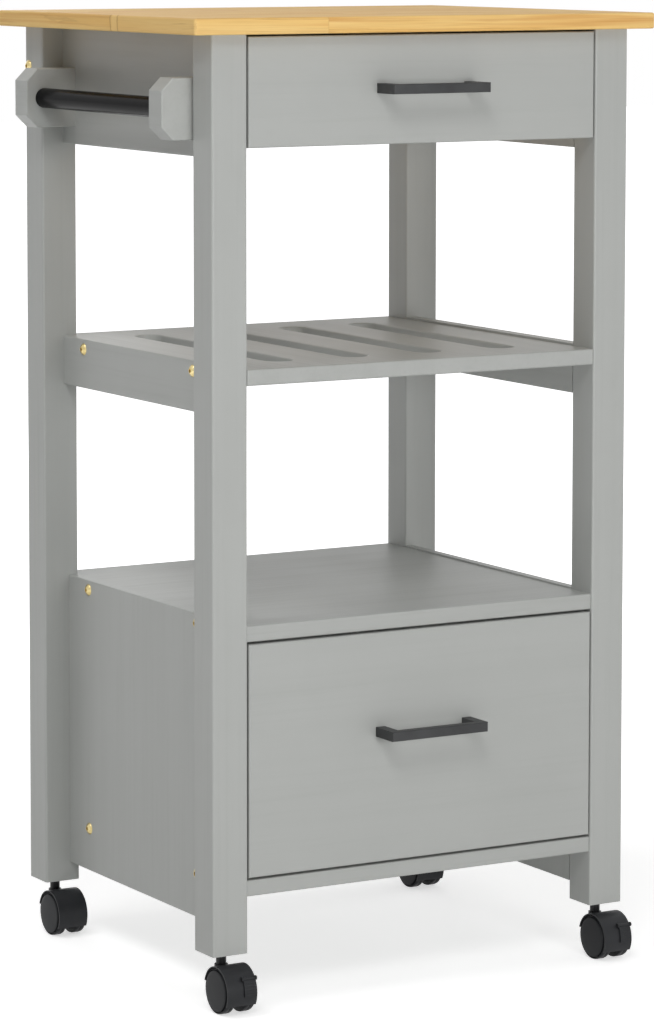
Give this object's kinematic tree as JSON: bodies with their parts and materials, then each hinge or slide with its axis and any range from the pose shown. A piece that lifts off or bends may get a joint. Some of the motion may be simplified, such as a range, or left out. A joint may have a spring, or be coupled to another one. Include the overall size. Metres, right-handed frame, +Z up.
{
  "type": "kitchen island cart",
  "caption": "Rolling kitchen island cart with a wooden worktop, a shallow and a deep drawer, a slotted open shelf, a side towel rod and swivel casters.",
  "frame": {"origin": "on the floor, under the middle of the whole footprint at rest (the towel rod on the left and the pulls in front count)", "axes": "+Z up, front of the cart towards -Y, +X to the right seen from the front"},
  "size_m": [0.497, 0.419, 0.9],
  "materials": {
    "worktop_pine": "oiled pine",
    "grey_paint": "satin grey paint over pine",
    "raw_pine": "bare pine",
    "plywood": "bare plywood",
    "beech": "fluted beech",
    "black_metal": "matt black",
    "black_steel": "black oxide",
    "zinc_steel": "zinc plated",
    "brass": "brass plated",
    "black_plastic": "moulded nylon",
    "wheel_plastic": "moulded nylon"
  },
  "bodies": {
    "root": {"worktop": "worktop_pine", "post_front_left": "grey_paint", "post_front_right": "grey_paint", "post_back_left": "grey_paint", "post_back_right": "grey_paint", "apron_left": "grey_paint", "apron_right": "grey_paint", "apron_back": "grey_paint", "shelf_rail_left": "grey_paint", "shelf_rail_right": "grey_paint", "slotted_shelf": "grey_paint", "cabinet_side_left": "grey_paint", "cabinet_side_right": "grey_paint", "cabinet_top": "grey_paint", "cabinet_floor": "grey_paint", "cabinet_back": "plywood", "drawer_runners": "raw_pine", "drawer_stops": "raw_pine", "towel_bracket_front": "grey_paint", "towel_bracket_back": "grey_paint", "towel_rod": "black_metal", "caster_stems": "black_steel", "stem_sockets": "zinc_steel", "wood_dowels": "beech", "brass_screws": "brass", "flat_head_screws": "zinc_steel"},
    "top_drawer": {"top_drawer_front": "grey_paint", "top_drawer_side_left": "raw_pine", "top_drawer_side_right": "raw_pine", "top_drawer_back": "raw_pine", "top_drawer_bottom": "plywood", "top_drawer_pull": "black_metal", "top_drawer_pull_screws": "zinc_steel"},
    "lower_drawer": {"lower_drawer_front": "grey_paint", "lower_drawer_side_left": "raw_pine", "lower_drawer_side_right": "raw_pine", "lower_drawer_back": "raw_pine", "lower_drawer_bottom": "plywood", "lower_drawer_pull": "black_metal", "lower_drawer_pull_screws": "zinc_steel"},
    "caster_front_left": {"caster_hood_front_left": "black_plastic", "caster_axle_front_left": "black_steel"},
    "wheel_front_left_outer": {"wheel_front_left_outer": "wheel_plastic"},
    "wheel_front_left_inner": {"wheel_front_left_inner": "wheel_plastic"},
    "brake_front_left": {"brake_lever_front_left": "black_plastic"},
    "caster_front_right": {"caster_hood_front_right": "black_plastic", "caster_axle_front_right": "black_steel"},
    "wheel_front_right_outer": {"wheel_front_right_outer": "wheel_plastic"},
    "wheel_front_right_inner": {"wheel_front_right_inner": "wheel_plastic"},
    "brake_front_right": {"brake_lever_front_right": "black_plastic"},
    "caster_back_left": {"caster_hood_back_left": "black_plastic", "caster_axle_back_left": "black_steel"},
    "wheel_back_left_outer": {"wheel_back_left_outer": "wheel_plastic"},
    "wheel_back_left_inner": {"wheel_back_left_inner": "wheel_plastic"},
    "caster_back_right": {"caster_hood_back_right": "black_plastic", "caster_axle_back_right": "black_steel"},
    "wheel_back_right_outer": {"wheel_back_right_outer": "wheel_plastic"},
    "wheel_back_right_inner": {"wheel_back_right_inner": "wheel_plastic"}
  },
  "joints": [
    {"name": "top_drawer_slide", "type": "slide", "parent": "root", "child": "top_drawer", "axis": [0, -1, 0], "range_m": [0, 0.24]},
    {"name": "lower_drawer_slide", "type": "slide", "parent": "root", "child": "lower_drawer", "axis": [0, -1, 0], "range_m": [0, 0.24]},
    {"name": "swivel_front_left", "type": "hinge", "parent": "root", "child": "caster_front_left", "pos_m": [-0.2005, -0.1605, 0.041], "axis": [0, 0, 1], "continuous": true},
    {"name": "roll_front_left_outer", "type": "hinge", "parent": "caster_front_left", "child": "wheel_front_left_outer", "pos_m": [-0.2114, -0.1785, 0.021], "axis": [1, 0, 0], "continuous": true},
    {"name": "roll_front_left_inner", "type": "hinge", "parent": "caster_front_left", "child": "wheel_front_left_inner", "pos_m": [-0.1896, -0.1785, 0.021], "axis": [1, 0, 0], "continuous": true},
    {"name": "brake_front_left", "type": "hinge", "parent": "caster_front_left", "child": "brake_front_left", "pos_m": [-0.193, -0.19873, 0.03464], "axis": [-1, 0, 0], "range_deg": [0, 18]},
    {"name": "swivel_front_right", "type": "hinge", "parent": "root", "child": "caster_front_right", "pos_m": [0.2075, -0.1605, 0.041], "axis": [0, 0, 1], "continuous": true},
    {"name": "roll_front_right_outer", "type": "hinge", "parent": "caster_front_right", "child": "wheel_front_right_outer", "pos_m": [0.2184, -0.1785, 0.021], "axis": [1, 0, 0], "continuous": true},
    {"name": "roll_front_right_inner", "type": "hinge", "parent": "caster_front_right", "child": "wheel_front_right_inner", "pos_m": [0.1966, -0.1785, 0.021], "axis": [1, 0, 0], "continuous": true},
    {"name": "brake_front_right", "type": "hinge", "parent": "caster_front_right", "child": "brake_front_right", "pos_m": [0.215, -0.19873, 0.03464], "axis": [-1, 0, 0], "range_deg": [0, 18]},
    {"name": "swivel_back_left", "type": "hinge", "parent": "root", "child": "caster_back_left", "pos_m": [-0.2005, 0.1795, 0.041], "axis": [0, 0, 1], "continuous": true},
    {"name": "roll_back_left_outer", "type": "hinge", "parent": "caster_back_left", "child": "wheel_back_left_outer", "pos_m": [-0.2114, 0.1615, 0.021], "axis": [1, 0, 0], "continuous": true},
    {"name": "roll_back_left_inner", "type": "hinge", "parent": "caster_back_left", "child": "wheel_back_left_inner", "pos_m": [-0.1896, 0.1615, 0.021], "axis": [1, 0, 0], "continuous": true},
    {"name": "swivel_back_right", "type": "hinge", "parent": "root", "child": "caster_back_right", "pos_m": [0.2075, 0.1795, 0.041], "axis": [0, 0, 1], "continuous": true},
    {"name": "roll_back_right_outer", "type": "hinge", "parent": "caster_back_right", "child": "wheel_back_right_outer", "pos_m": [0.2184, 0.1615, 0.021], "axis": [1, 0, 0], "continuous": true},
    {"name": "roll_back_right_inner", "type": "hinge", "parent": "caster_back_right", "child": "wheel_back_right_inner", "pos_m": [0.1966, 0.1615, 0.021], "axis": [1, 0, 0], "continuous": true}
  ]
}
